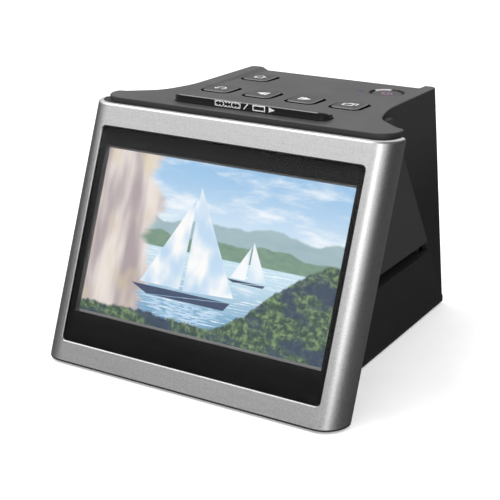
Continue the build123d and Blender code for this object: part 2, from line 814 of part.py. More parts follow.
def power_ring():
    """Dished ring round the power button."""
    top = panel_height(power_y)
    low = top - power_ring_depth
    inner, outer = power_radius + power_gap, power_ring_radius - 0.02
    points = [(inner, low), (outer, low), (outer, top), (outer - 0.25, top), (inner, low + 0.4)]
    return Pos(power_x, power_y, 0) * revolve(Plane.XZ * make_face(Polyline(*points, close=True)), Axis.Z)


def status_led():
    """Light pipe from the board's lamp to the panel."""
    pipe = disc(led_radius, led_x, led_y, button_board_top, panel_height(led_y) + 0.1)
    return fillet(pipe.edges().filter_by(GeomType.CIRCLE).sort_by(Axis.Z)[-1], 0.3)


def all_parts():
    pieces = {make.__name__: make() for make in (
        front_bezel, bezel_carrier, screen_window, window_mask, lcd_frame, lcd_panel, lcd_backlight,
        display_back, top_shell, film_gate, base_housing, base_screws, rubber_feet, diffuser, light_box,
        led_board, backlight_leds, lens_hood, lens_barrel, lens_front, lens_rear, sensor_board, image_sensor,
        main_board, gate_posts, usb_c_port, mini_hdmi_port, sd_card_slot, processor, button_board,
        board_screws, tact_switches, capture_bar, power_button, power_ring, status_led)}
    for name, (x, y) in key_places().items():
        pieces[name] = square_key(x, y)
    return pieces


for name, piece in all_parts().items():
    export_step(place * piece, f"parts/{name}.step")
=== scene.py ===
import json
from math import cos, pi, radians, sin

import bmesh
import bpy
from mathutils import Matrix, Vector


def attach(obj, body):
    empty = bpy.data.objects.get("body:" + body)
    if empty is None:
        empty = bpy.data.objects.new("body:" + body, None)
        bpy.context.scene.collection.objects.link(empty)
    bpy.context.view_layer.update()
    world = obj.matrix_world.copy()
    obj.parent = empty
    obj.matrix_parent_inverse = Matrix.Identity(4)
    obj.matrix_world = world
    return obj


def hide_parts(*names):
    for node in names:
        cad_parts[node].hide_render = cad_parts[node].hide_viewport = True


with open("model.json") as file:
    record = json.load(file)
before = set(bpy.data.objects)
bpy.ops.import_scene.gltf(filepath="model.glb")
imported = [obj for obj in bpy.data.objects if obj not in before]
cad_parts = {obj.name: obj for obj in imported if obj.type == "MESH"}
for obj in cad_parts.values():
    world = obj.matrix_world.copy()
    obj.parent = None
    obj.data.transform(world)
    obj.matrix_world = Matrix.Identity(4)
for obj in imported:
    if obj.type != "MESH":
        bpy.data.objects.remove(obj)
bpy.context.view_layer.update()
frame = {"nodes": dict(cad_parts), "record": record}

# Lengths of the part are in millimetres and are turned into metres by `at`. As in the part's own layout,
# y runs to the rear from the screen's foot and z up from the underside of the housing.
MM = 0.001
FOOTPRINT_CENTRE = 70.727       # the row frame's origin, this far behind the screen's foot
FOOT_HEIGHT = 1.0
COVER_TOP = 98.0

TILT = radians(21.0)
ACTIVE_WIDTH = 108.0
ACTIVE_HEIGHT = 64.8
ACTIVE_LOW = 21.6               # lower edge of the lit field, up the slope
DISPLAY_DEPTH = 4.25
PICTURE_GAP = 0.05
PICTURE_GRID = (60, 36)

PANEL_FRONT = 68.0
PANEL_REAR = 129.1
PANEL_SINK = 1.4
KEY_PROUD = 0.6
KEY_PITCH = 19.4
KEY_ROW_Y = 77.6
HOME_Y = 109.5
KEY_PLACES = [((i - 1.5) * KEY_PITCH, KEY_ROW_Y) for i in range(4)] + [(-1.5 * KEY_PITCH, HOME_Y)]
POWER_X = 29.3
POWER_Y = 112.0
POWER_SINK = 0.35
BAR_FRONT = 47.8
BAR_PRINT_HEIGHT = 1.6
WELL_WIDTH = 12.2
WELL_LENGTH = 13.4
WELL_CORNER = 2.8
# width of the flat ring of painted shade round each key
GAP_SHADE_WIDTH = 0.8
GLYPH_SCALE = 1.3
PRINT_LIFT = 0.02
MITRE_LIMIT = 0.4
ARC_STEPS = 24
CORNER_STEPS = 8

SCREW_PLACES = ((-38.0, 22.0), (38.0, 22.0), (-37.8, 121.4), (37.8, 121.4))
SCREW_HEAD = 2.6
SCREW_SEAT = 1.4
SCREW_SHANK = 1.2
SCREW_TIP = 8.5
SCREW_TURNS = 36
CROSS_MOUTH = (1.35, 0.32)      # reach and half width of the recess where it opens
CROSS_ROOT = (0.85, 0.2)
CROSS_DEPTH = 0.9
SOCKET_LOW = 45.6
SOCKET_REAR = 135.18
CONTACT_ROWS = ((22.0, 3.2, 10, 0.5), (4.0, 3.3, 9, 0.8))   # x, socket height, contacts, pitch
CONTACT_RAISE = 0.35
CONTACT_SETBACK = 1.5
CONTACT_LENGTH = 3.0
CONTACT_THICKNESS = 0.05
CONTACT_SHARE = 0.3             # half a contact's width, as a share of the pitch

CAMERA_PLACE = (226.992, -338.043, 199.073)
CAMERA_TURN = radians(30.1942)
CAMERA_DROP = radians(19.2909)
CAMERA_ROLL = radians(-0.5438)
CAMERA_LENS = 86.95
CAMERA_SENSOR = 36.0
CAMERA_NEAR = 0.01              # metres

# Levels of the studio. Directions run -1 to 1; a band is where one level passes into the next.
SWEEP_LEVEL = 1.0
MIRRORED_SWEEP = (0.13, 1.40)   # what polished pieces mirror, at the floor and high up
SWEEP_BAND = (0.0, 0.55)
MIRRORED_ZENITH = 0.25
ZENITH_BAND = (0.70, 0.95)
MIRRORED_LEFT = 0.55
LEFT_BAND = (-1.0, -0.72)
MIRRORED_RIGHT = 0.06
RIGHT_BAND = (-0.05, 0.60)
MIRRORED_FLOOR = 0.05
FLOOR_GLOW = 0.25
FLOOR_HALF = 3.0                # metres
FLOOR_CELLS = 24
UNDERSIDE_RAY = 0.004           # rays this short start under the part, and pass through the floor
LAMPS = (                       # name, place, target and size in metres, power in watts
    ("key", (-0.55, -0.25, 1.25), (0, 0, 0.05), (0.7, 0.7), 7.0),
    ("edge", (0.49, -0.67, 0.38), (0.06, -0.05, 0.06), (0.17, 0.5), 1.4),
    ("edge_fill", (0.72, -0.50, 0.36), (0.06, -0.05, 0.06), (0.35, 0.5), 0.5),
)

# Noise levels between which one tone of a finish passes into the other.
CRISP = (0.35, 0.65)
EVEN = (0.3, 0.7)
SOFT = (0.2, 0.8)

# Tones, and the slopes of a face's normal over which one tone passes into the other. Beside the own tones of
# the cover, gate and keys, these are painted light and shade on the cover's walls and front, painted shade on
# the gate's top, the key sides and the gaps round the keys, and a painted highlight on the key rims.
COVER_TONE = 0.048
COVER_FRONT_LIGHT_TONE = 0.042
# Painted shade on the walls of the cover: the first tone low down, the second higher up.
WALL_SHADE_TONES = (0.009, 0.024)
WALL_SHADE_FADE = (0.045, 0.095)      # metres up the part
GATE_TONE = 0.030
GATE_TOP_SHADE_TONE = 0.006
KEY_TONE = 0.028
KEY_RIM_HIGHLIGHT_TONE = 0.16
GAP_SHADE_TONE = 0.002
SIDE_TO_TOP = (0.35, 0.85)
KEY_SIDE_TO_TOP = (0.78, 0.97)
FRONT_FACING = (0.6, 0.95)
RIM_FACING = (0.45, 0.66)
# Painted highlight on the power ring: slope faces turned towards this direction, within the band below, are
# painted light grey.
RING_HIGHLIGHT_FACING = (0.60, -0.80, 0.0)     # across the part, to the front and right
RING_HIGHLIGHT_BAND = (0.69, 0.75)

scene = bpy.context.scene
scene.view_settings.view_transform = "Standard"


# ---- places
def at(x, y, z):
    """A layout point in millimetres, as a point of the row frame in metres."""
    return Vector((x, y - FOOTPRINT_CENTRE, z + FOOT_HEIGHT)) * MM


def on_screen(x, up, depth):
    """A point of the tilted screen: x across, `up` the slope, `depth` behind the front face."""
    return at(x, up * sin(TILT) + depth * cos(TILT), up * cos(TILT) - depth * sin(TILT))


def panel_height(y):
    """Height of the key panel, which sinks to the rear."""
    return COVER_TOP - PANEL_SINK * (y - PANEL_FRONT) / (PANEL_REAR - PANEL_FRONT)


# ---- meshes
def new_piece(name, bm, body, material):
    """Turns a bmesh into a piece that rides on a body and takes the finish it is given."""
    bmesh.ops.recalc_face_normals(bm, faces=bm.faces)
    mesh = bpy.data.meshes.new(name)
    bm.to_mesh(mesh)
    bm.free()
    piece = bpy.data.objects.new(name, mesh)
    scene.collection.objects.link(piece)
    mesh.materials.append(material)
    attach(piece, body)
    return piece


def add_prism(bm, low, high):
    """A closed solid between two matching rings of points."""
    bottom = [bm.verts.new(p) for p in low]
    top = [bm.verts.new(p) for p in high]
    bm.faces.new(bottom[::-1])
    bm.faces.new(top)
    count = len(bottom)
    for i in range(count):
        j = (i + 1) % count
        bm.faces.new((bottom[i], bottom[j], top[j], top[i]))


def stroke_sides(points, width, closed):
    """Both sides of a line of even width through 2-D points, mitred at its bends."""
    count = len(points)
    sides = ([], [])
    for i, point in enumerate(points):
        before = points[i - 1] if i or closed else None
        after = points[(i + 1) % count] if i < count - 1 or closed else None
        steps = [(point - before).normalized()] if before else []
        steps += [(after - point).normalized()] if after else []
        along = sum(steps, Vector((0, 0))).normalized()
        across = Vector((-along.y, along.x))
        reach = width / 2 / max(MITRE_LIMIT, along.dot(steps[0]))
        sides[0].append(point + across * reach)
        sides[1].append(point - across * reach)
    return sides


def add_stroke(bm, place, points, width, closed=False):
    """A raised line of print: `place` puts a 2-D point and a height on the surface."""
    left, right = stroke_sides([Vector(p) for p in points], width, closed)
    count = len(left)
    for i in range(count if closed else count - 1):
        j = (i + 1) % count
        ring = (left[i], left[j], right[j], right[i])
        add_prism(bm, [place(p, 0) for p in ring], [place(p, PRINT_LIFT) for p in ring])


def add_patch(bm, place, points):
    """A raised patch of print inside a ring of 2-D points."""
    add_prism(bm, [place(Vector(p), 0) for p in points], [place(Vector(p), PRINT_LIFT) for p in points])


def arc(radius, start, end, count=ARC_STEPS, centre=(0, 0)):
    """Points along a circle between two angles in degrees."""
    steps = [radians(start + (end - start) * i / count) for i in range(count + 1)]
    return [(centre[0] + radius * cos(a), centre[1] + radius * sin(a)) for a in steps]


def level_place(x, y, z, scale=1.0):
    """Puts print on a level face whose centre is (x, y, z)."""
    return lambda p, lift: at(x + scale * p.x, y + scale * p.y, z + lift)


def rounded_rectangle(width, length, corner):
    """Points round a rectangle with rounded corners, anticlockwise from the right."""
    x, y = width / 2 - corner, length / 2 - corner
    points = []
    for i, centre in enumerate(((x, y), (-x, y), (-x, -y), (x, -y))):
        points += arc(corner, 90 * i, 90 * (i + 1), CORNER_STEPS, centre)
    return points


# ---- node graphs
class Graph:
    """A material's node tree, with short calls for the nodes used here."""

    def __init__(self, name):
        self.material = bpy.data.materials.new(name)
        self.material.use_nodes = True
        self.tree = self.material.node_tree
        self.shader = self.tree.nodes["Principled BSDF"]

    @classmethod
    def of(cls, owner):
        """The graph of something that has a node tree already."""
        graph = cls.__new__(cls)
        graph.tree = owner.node_tree
        graph.shader = graph.tree.nodes.get("Principled BSDF")
        return graph

    def node(self, kind, inputs=(), **settings):
        """A new node with its settings, and its inputs as numbers, colours or other nodes' outputs."""
        made = self.tree.nodes.new(kind)
        for key, value in settings.items():
            setattr(made, key, value)
        for index, value in dict(inputs).items():
            self.feed(made.inputs[index], value)
        return made

    def feed(self, socket, value):
        if isinstance(value, bpy.types.NodeSocket):
            self.tree.links.new(value, socket)
        else:
            socket.default_value = value

    def set(self, name, value):
        self.feed(self.shader.inputs[name], value)

    def calc(self, operation, a, b=0.0, c=0.0):
        return self.node("ShaderNodeMath", {0: a, 1: b, 2: c}, operation=operation).outputs[0]

    def ramp(self, value, low, high, to_low=0.0, to_high=1.0):
        """Value from low to high, eased, as to_low to to_high."""
        made = self.node("ShaderNodeMapRange", {0: value, 1: low, 2: high, 3: to_low, 4: to_high},
                         interpolation_type="SMOOTHSTEP")
        return made.outputs[0]

    def blend(self, share, a, b):
        """Colour a where the share is 0, colour b where it is 1."""
        return self.node("ShaderNodeMix", {0: share, 6: a, 7: b}, data_type="RGBA").outputs[2]

    def noise(self, vector, scale, detail=2.0, rough=0.5):
        made = self.node("ShaderNodeTexNoise", {"Vector": vector, "Scale": scale, "Detail": detail,
                                                "Roughness": rough})
        return made.outputs[0]

    def object_point(self, stretch=(1.0, 1.0, 1.0)):
        point = self.node("ShaderNodeTexCoord").outputs["Object"]
        return self.node("ShaderNodeMapping", {"Vector": point, "Scale": stretch}).outputs[0]

    def bump(self, height, distance):
        self.set("Normal", self.node("ShaderNodeBump", {"Height": height, "Distance": distance}).outputs[0])


def grey(level):
    return (level, level, level, 1.0)


def scaled(colour, share):
    """A colour made lighter or darker, white at most."""
    return tuple(min(1.0, c * share) for c in colour[:3]) + (1.0,)


def moulded(name, colour, roughness, grain=3200.0, depth=0.00003, fleck=0.12, coat=0.0, shine=0.5):
    """Moulded plastic: spark-eroded grain, faint flow variation in tone and gloss."""
    graph = Graph(name)
    point = graph.object_point()
    fine = graph.noise(point, grain, 3.0, 0.6)
    broad = graph.noise(point, 38.0, 2.0)
    darker, lighter = scaled(colour, 1 - fleck), scaled(colour, 1 + fleck)
    graph.set("Base Color", graph.blend(graph.ramp(fine, *CRISP), darker, lighter))
    graph.set("Roughness", graph.ramp(broad, *EVEN, roughness - 0.04, roughness + 0.04))
    graph.set("Specular IOR Level", shine)
    graph.set("Coat Weight", coat)
    graph.set("Coat Roughness", 0.08)
    graph.bump(fine, depth)
    return graph.material


def paint_shade_by_facing(material, side=None, front=None, rim=None, top=None, turn=SIDE_TO_TOP):
    """Paints light and shade into the colour by the way a face looks: painted shade on the sides, a painted
    tone on the front, a painted highlight on the bevelled rim, and painted shade on the top where a top tone
    is given. What isn't given keeps the material's own colour. Two tones of painted shade on the sides fade
    up the part, darker towards the bottom. `turn` is the slope over which the sides pass into the top."""
    graph = Graph.of(material)
    place = graph.node("ShaderNodeTexCoord").outputs
    parts = graph.node("ShaderNodeSeparateXYZ", {0: place["Normal"]}).outputs
    own = graph.shader.inputs["Base Color"].links[0].from_socket
    colour = own
    # painted shade on the side faces, in two tones darker towards the bottom where two are given
    if side:
        tones = [grey(tone) for tone in side]
        height = graph.node("ShaderNodeSeparateXYZ", {0: place["Object"]}).outputs[2]
        colour = graph.blend(graph.ramp(height, *WALL_SHADE_FADE), *tones) if len(tones) == 2 else tones[0]
    # painted tone on faces that look to the front
    if front:
        forward = graph.calc("MULTIPLY", parts[1], -1.0)
        colour = graph.blend(graph.ramp(forward, *FRONT_FACING), colour, grey(front))
    # painted highlight on the bevelled rim
    if rim:
        colour = graph.blend(graph.ramp(parts[2], *RIM_FACING), colour, grey(rim))
    # a given top tone is painted shade; without one the top keeps its own colour
    above = grey(top) if top else own
    graph.set("Base Color", graph.blend(graph.ramp(parts[2], *turn), colour, above))
    return material


def aluminium():
    """Bead-blasted and anodised aluminium, with a faint brushing across the part."""
    graph = Graph("satin_aluminium")
    beads = graph.noise(graph.object_point(), 1700.0, 3.0, 0.7)
    brushed = graph.noise(graph.object_point((60.0, 2600.0, 2600.0)), 1.0, 2.0, 0.6)
    grain = graph.calc("MULTIPLY_ADD", brushed, 0.25, graph.calc("MULTIPLY", beads, 0.75))
    graph.set("Base Color", graph.blend(graph.ramp(grain, *CRISP), grey(0.54), grey(0.68)))
    graph.set("Metallic", 1.0)
    graph.set("Roughness", graph.ramp(grain, *EVEN, 0.33, 0.43))
    graph.set("Anisotropic", 0.2)
    graph.bump(grain, 0.000008)
    return graph.material


def dished_ring_painted_highlight():
    """Black ring round the power button, with a painted highlight: the part of its slope that faces one set
    direction, to the front and right, is painted light grey.
    """
    graph = Graph("dished_ring_painted_highlight")
    facing = graph.node("ShaderNodeTexCoord").outputs["Normal"]
    across = graph.node("ShaderNodeVectorMath", {0: facing, 1: RING_HIGHLIGHT_FACING},
                        operation="DOT_PRODUCT").outputs["Value"]
    streak = graph.noise(graph.object_point(), 1400.0, 2.0)
    # painted highlight: light grey where the slope faces the set direction, its edge broken by noise
    lit = graph.ramp(graph.calc("MULTIPLY_ADD", streak, 0.06, across), *RING_HIGHLIGHT_BAND)
    graph.set("Base Color", graph.blend(lit, grey(0.005), grey(0.55)))
    graph.set("Roughness", 0.30)
    graph.set("Specular IOR Level", 0.15)
    return graph.material


def metal(name, colour, roughness):
    """Plated or bare metal, unevenly worn."""
    graph = Graph(name)
    worn = graph.noise(graph.object_point(), 900.0, 3.0)
    graph.set("Base Color", graph.blend(graph.ramp(worn, *EVEN), scaled(colour, 0.82), colour))
    graph.set("Metallic", 1.0)
    graph.set("Roughness", graph.ramp(worn, *EVEN, roughness - 0.05, roughness + 0.08))
    graph.bump(worn, 0.000008)
    return graph.material


def clear_glass(name, tint, ior):
    """Polished glass with the faintest unevenness in its surface; a coated one bends light less."""
    graph = Graph(name)
    wave = graph.noise(graph.object_point(), 22.0, 1.0)
    graph.set("Base Color", graph.blend(graph.ramp(wave, *SOFT), tint, grey(1.0)))
    graph.set("Transmission Weight", 1.0)
    graph.set("Roughness", 0.01)
    graph.set("IOR", ior)
    return graph.material


def printed_black():
    """Black print on the back of the window, very slightly hazy."""
    graph = Graph("window_print")
    haze = graph.noise(graph.object_point(), 16.0, 1.0)
    graph.set("Base Color", graph.blend(graph.ramp(haze, *SOFT), grey(0.010), grey(0.013)))
    graph.set("Roughness", 0.5)
    graph.set("Specular IOR Level", 0.1)
    return graph.material


def circuit_board():
    """Green solder mask over copper tracks."""
    graph = Graph("circuit_board")
    point = graph.object_point()
    tracks = graph.node("ShaderNodeTexBrick", {"Vector": point, "Scale": 320.0, "Mortar Size": 0.06},
                        offset=0.35).outputs["Fac"]
    speck = graph.noise(point, 240.0, 2.0)
    mask = graph.blend(graph.ramp(speck, 0.4, 0.7),
                       (0.010, 0.072, 0.030, 1.0), (0.016, 0.105, 0.045, 1.0))
    graph.set("Base Color", graph.blend(tracks, mask, (0.03, 0.17, 0.07, 1.0)))
    graph.set("Roughness", 0.32)
    graph.bump(tracks, 0.00004)
    return graph.material


def glowing(name, colour):
    """A lit lens, a little dimmer in places."""
    graph = Graph(name)
    core = graph.noise(graph.object_point(), 900.0, 1.0)
    graph.set("Base Color", colour)
    graph.set("Roughness", 0.25)
    graph.set("Specular IOR Level", 0.1)
    graph.set("Emission Color", graph.blend(graph.ramp(core, *SOFT), scaled(colour, 0.7), colour))
    graph.set("Emission Strength", 1.0)
    return graph.material


def ink(name, colour):
    """Pad-printed ink, very slightly uneven."""
    graph = Graph(name)
    cover = graph.noise(graph.object_point(), 1500.0, 2.0)
    graph.set("Base Color", graph.blend(graph.ramp(cover, 0.3, 0.6), scaled(colour, 0.8), colour))
    graph.set("Roughness", 0.45)
    return graph.material


# ---- the picture on the display: a bay with two sailing boats, made up in nodes
class Picture(Graph):
    """Coordinates run 0 to 1 across and up the lit field."""

    def __init__(self):
        super().__init__("display_picture")
        self.uv = self.node("ShaderNodeUVMap").outputs[0]
        parts = self.node("ShaderNodeSeparateXYZ", {0: self.uv})
        self.across = parts.outputs[0]
        self.up = parts.outputs[1]

    def stretched(self, x, y, shift=0.0):
        """The picture's coordinates, made finer across and up."""
        return self.node("ShaderNodeMapping", {"Vector": self.uv, "Location": (shift, shift, 0.0),
                                               "Scale": (x, y, 1.0)}).outputs[0]

    def texture(self, x, y, detail=4.0, rough=0.55, shift=0.0):
        return self.noise(self.stretched(x, y, shift), 1.0, detail, rough)

    def below(self, height, soft=0.006):
        """1 under a height, 0 over it."""
        gap = self.calc("SUBTRACT", height, self.up)
        return self.ramp(gap, -soft, soft)

    def ridge(self, base, swing, bumps, shift):
        """An uneven skyline about a base height."""
        line = self.noise(self.stretched(bumps, 0.0, shift), 1.0, 5.0, 0.5)
        return self.calc("MULTIPLY_ADD", line, swing, base - swing / 2)

    def side(self, ax, ay, bx, by):
        """Signed distance to the left of the line from a to b."""
        run, rise = bx - ax, by - ay
        length = (run * run + rise * rise) ** 0.5
        flat = self.calc("MULTIPLY_ADD", self.up, run / length, (ax * rise - ay * run) / length)
        return self.calc("MULTIPLY_ADD", self.across, -rise / length, flat)

    def triangle(self, a, b, c, soft=0.003):
        """1 inside a triangle whose corners run anticlockwise."""
        near = self.calc("MINIMUM", self.side(*a, *b), self.side(*b, *c))
        return self.ramp(self.calc("MINIMUM", near, self.side(*c, *a)), 0.0, soft)

    def sky(self):
        colour = self.blend(self.ramp(self.up, 0.45, 1.0), (0.72, 0.84, 0.93, 1), (0.30, 0.53, 0.78, 1))
        clouds = self.ramp(self.texture(2.6, 6.0, detail=6.0, rough=0.6, shift=3.1), 0.46, 0.66)
        return self.blend(self.calc("MULTIPLY", clouds, 0.85), colour, (0.93, 0.95, 0.97, 1))

    def hills(self, colour):
        far = self.below(self.ridge(base=0.66, swing=0.26, bumps=3.4, shift=1.7), soft=0.010)
        shade = self.blend(self.texture(9, 14), (0.24, 0.38, 0.43, 1), (0.42, 0.55, 0.58, 1))
        colour = self.blend(far, colour, shade)
        near = self.below(self.ridge(base=0.56, swing=0.14, bumps=6.0, shift=5.2))
        wooded = self.blend(self.texture(26, 40, detail=6.0), (0.09, 0.20, 0.17, 1), (0.26, 0.38, 0.26, 1))
        return self.blend(near, colour, wooded)

    def water(self, colour):
        shore = 0.47
        glitter = self.texture(10, 95, rough=0.6, shift=2.0)
        deep = self.blend(self.ramp(self.up, 0.05, 0.46), (0.16, 0.36, 0.55, 1), (0.55, 0.74, 0.85, 1))
        lit = self.blend(self.ramp(glitter, 0.50, 0.68), deep, (0.86, 0.93, 0.97, 1))
        return self.blend(self.below(shore, soft=0.003), colour, lit)

    def boat(self, colour, x, low, size, sail, cloth):
        """Hull, main sail and jib, with a soft reflection under them. The mast stands at x."""
        tall = 1.67 * size
        streak = self.ramp(self.texture(30, 70, detail=2.0, rough=0.5, shift=9.0), 0.4, 0.6)
        mirror = self.triangle((x - 0.5 * size, low), (x + 0.02, low - 0.45 * tall), (x + 0.55 * size, low),
                               soft=0.05)
        colour = self.blend(self.calc("MULTIPLY", mirror, streak), colour, cloth)
        fold = self.ramp(self.texture(14, 5, detail=2.0, rough=0.4, shift=x), *EVEN)
        main = self.triangle((x, low + 0.06 * tall), (x + 0.52 * size, low + 0.09 * tall), (x, low + tall))
        colour = self.blend(main, colour, self.blend(fold, cloth, sail))
        jib = self.triangle((x - 0.46 * size, low + 0.07 * tall), (x - 0.03 * size, low + 0.07 * tall),
                            (x - 0.015 * size, low + 0.9 * tall))
        colour = self.blend(jib, colour, self.blend(fold, sail, cloth))
        deck, keel = low + 0.05 * tall, low - 0.03 * tall
        bow, stern = (x - 0.55 * size, deck), (x + 0.5 * size, deck)
        forefoot, heel = (x - 0.36 * size, keel), (x + 0.44 * size, keel)
        hull = self.calc("MAXIMUM", self.triangle(bow, forefoot, stern), self.triangle(forefoot, heel, stern))
        return self.blend(hull, colour, (0.035, 0.06, 0.13, 1))

    def cliffs(self, colour):
        """Pale pink and beige rock that stands out of focus at the left."""
        edge = self.calc("MULTIPLY_ADD", self.texture(0.0, 5.0, rough=0.5, shift=4.0), 0.26, 0.12)
        mask = self.ramp(self.calc("SUBTRACT", edge, self.across), -0.02, 0.03)
        column = self.texture(15, 1.8, detail=2.0, rough=0.4, shift=6.0)
        rock = self.blend(self.ramp(column, 0.32, 0.68), (0.40, 0.33, 0.35, 1), (0.80, 0.73, 0.68, 1))
        patch = self.ramp(self.texture(8, 3.0, detail=2.0, rough=0.5, shift=8.0), 0.5, 0.68)
        warm = self.blend(self.calc("MULTIPLY", patch, 0.6), rock, (0.66, 0.55, 0.36, 1))
        return self.blend(mask, colour, warm)

    def bank(self, colour):
        """Green leaves and deep blue shade that rise to the right."""
        rise = self.ramp(self.across, 0.52, 1.0, 0.02, 0.50)
        tufts = self.texture(16, 0.0, detail=6.0, rough=0.7, shift=2.4)
        height = self.calc("ADD", rise, self.calc("MULTIPLY", tufts, 0.10))
        leaves = self.texture(44, 28, detail=6.0, rough=0.7)
        green = self.blend(self.ramp(leaves, 0.42, 0.66), (0.025, 0.060, 0.05, 1), (0.22, 0.34, 0.15, 1))
        shade = self.ramp(self.texture(7, 9, detail=3.0, rough=0.5, shift=7.0), 0.46, 0.60)
        dark = self.blend(self.calc("MULTIPLY", shade, 0.85), green, (0.022, 0.040, 0.10, 1))
        return self.blend(self.below(height, soft=0.01), colour, dark)

    def paint(self):
        """Lays the picture from the sky to the near bank and returns its material."""
        colour = self.water(self.hills(self.sky()))
        colour = self.boat(colour, x=0.66, low=0.36, size=0.15,
                           sail=(0.90, 0.93, 0.95, 1), cloth=(0.62, 0.76, 0.88, 1))
        colour = self.cliffs(colour)
        colour = self.boat(colour, x=0.415, low=0.20, size=0.40,
                           sail=(0.95, 0.95, 0.94, 1), cloth=(0.50, 0.68, 0.86, 1))
        colour = self.bank(colour)
        self.set("Base Color", grey(0.02))
        self.set("Roughness", 0.3)
        self.set("Emission Color", colour)
        self.set("Emission Strength", 1.0)
        return self.material


def display_picture():
    """The lit field, as a fine grid on the face of the display."""
    columns, rows = PICTURE_GRID
    bm = bmesh.new()
    layer = bm.loops.layers.uv.new("picture")
    grid = {}
    for i in range(columns + 1):
        for j in range(rows + 1):
            x = ACTIVE_WIDTH * (i / columns - 0.5)
            up = ACTIVE_LOW + ACTIVE_HEIGHT * j / rows
            grid[i, j] = bm.verts.new(on_screen(x, up, DISPLAY_DEPTH - PICTURE_GAP))
    for i in range(columns):
        for j in range(rows):
            corners = ((i, j), (i + 1, j), (i + 1, j + 1), (i, j + 1))
            face = bm.faces.new([grid[c] for c in corners])
            for loop, (a, b) in zip(face.loops, corners):
                loop[layer].uv = (a / columns, b / rows)
    new_piece("display_picture", bm, "housing", Picture().paint())


# ---- print on the keys
def return_arrow(bm, place):
    """A turned arrow."""
    add_stroke(bm, place, arc(1.5, -60, 200), 0.45)
    add_patch(bm, place, [(-2.4, -0.2), (-0.5, -0.2), (-1.45, -1.5)])


def left_arrow(bm, place):
    add_patch(bm, place, [(-1.9, 0), (0.9, -1.7), (0.9, 1.7)])
    add_patch(bm, place, [(1.3, -1.7), (1.9, -1.7), (1.9, 1.7), (1.3, 1.7)])


def right_arrow(bm, place):
    add_patch(bm, place, [(1.9, 0), (-0.9, 1.7), (-0.9, -1.7)])
    add_patch(bm, place, [(-1.9, -1.7), (-1.3, -1.7), (-1.3, 1.7), (-1.9, 1.7)])


def frames_glyph(bm, place):
    """Two overlapping picture frames."""
    add_stroke(bm, place, [(-2.0, -1.2), (1.0, -1.2), (1.0, 1.0), (-2.0, 1.0)], 0.4, closed=True)
    add_stroke(bm, place, [(-1.0, 1.8), (2.0, 1.8), (2.0, -0.4)], 0.4)


def house_glyph(bm, place):
    add_stroke(bm, place, [(-2.1, 0.1), (0, 1.9), (2.1, 0.1)], 0.42)
    add_stroke(bm, place, [(-1.4, 0.1), (-1.4, -1.6), (1.4, -1.6), (1.4, 0.1)], 0.42)


def film_glyph(bm, place):
    """A strip of film with its holes, a stroke, and a picture frame with a pointer."""
    strip, edge, hole_row = (-13.5, -2.5), 0.95, 0.55
    for side in (-1, 1):
        add_stroke(bm, place, [(x, side * edge) for x in strip], 0.3)
        for i in range(8):
            x, y = -12.9 + 1.4 * i, side * hole_row
            add_patch(bm, place, [(x - 0.3, y - 0.12), (x + 0.3, y - 0.12),
                                  (x + 0.3, y + 0.12), (x - 0.3, y + 0.12)])
    for x in (strip[0], -9.8, -6.2, strip[1]):
        add_stroke(bm, place, [(x, -1.1), (x, 1.1)], 0.35)
    add_stroke(bm, place, [(-0.9, -1.1), (0.9, 1.1)], 0.4)
    add_stroke(bm, place, [(3.2, -0.9), (8.2, -0.9), (8.2, 0.9), (3.2, 0.9)], 0.4, closed=True)
    add_patch(bm, place, [(10.0, -1.0), (12.6, 0.0), (10.0, 1.0)])


def power_glyph(bm, place):
    add_stroke(bm, place, arc(2.0, 130, 410, 36), 0.5)
    add_patch(bm, place, [(-0.25, 0.4), (0.25, 0.4), (0.25, 2.6), (-0.25, 2.6)])


def key_print(body, draw, place, material):
    """A glyph on one key, riding on it."""
    bm = bmesh.new()
    draw(bm, place)
    new_piece(body + "_glyph", bm, body, material)


def all_key_print():
    """The glyphs of all seven keys."""
    white = ink("white_ink", (0.86, 0.86, 0.86, 1.0))
    violet = ink("violet_ink", (0.50, 0.16, 0.42, 1.0))
    keys = (("back_button", return_arrow), ("left_button", left_arrow), ("right_button", right_arrow),
            ("mode_button", frames_glyph), ("home_button", house_glyph))
    for (body, draw), (x, y) in zip(keys, KEY_PLACES):
        key_print(body, draw, level_place(x, y, panel_height(y) + KEY_PROUD, GLYPH_SCALE), white)
    power = level_place(POWER_X, POWER_Y, panel_height(POWER_Y) - POWER_SINK)
    key_print("power_button", power_glyph, power, violet)
    key_print("capture_bar", film_glyph, bar_place, white)


def bar_place(point, lift):
    """Print on the bar's front face."""
    return at(point.x, BAR_FRONT - lift, COVER_TOP + BAR_PRINT_HEIGHT + point.y)


def painted_key_gap_shade(material):
    """A flat black ring of painted shade round each of the five keys, where the gap round the key would lie
    in shade.
    """
    bm = bmesh.new()
    points = rounded_rectangle(WELL_WIDTH + GAP_SHADE_WIDTH, WELL_LENGTH + GAP_SHADE_WIDTH,
                               WELL_CORNER + GAP_SHADE_WIDTH / 2)
    for x, y in KEY_PLACES:
        add_stroke(bm, lambda p, lift: at(x + p.x, y + p.y, panel_height(y + p.y) + lift), points,
                   GAP_SHADE_WIDTH, closed=True)
    new_piece("painted_key_gap_shade", bm, "housing", material)


# ---- small metal pieces
def cross_outline(reach, width):
    """The twelve corners of a cross."""
    quarter = [(reach, width), (width, width), (width, reach)]
    points = []
    for turn in range(4):
        c, s = round(cos(turn * pi / 2)), round(sin(turn * pi / 2))
        points += [(x * c - y * s, x * s + y * c) for x, y in quarter]
    return points


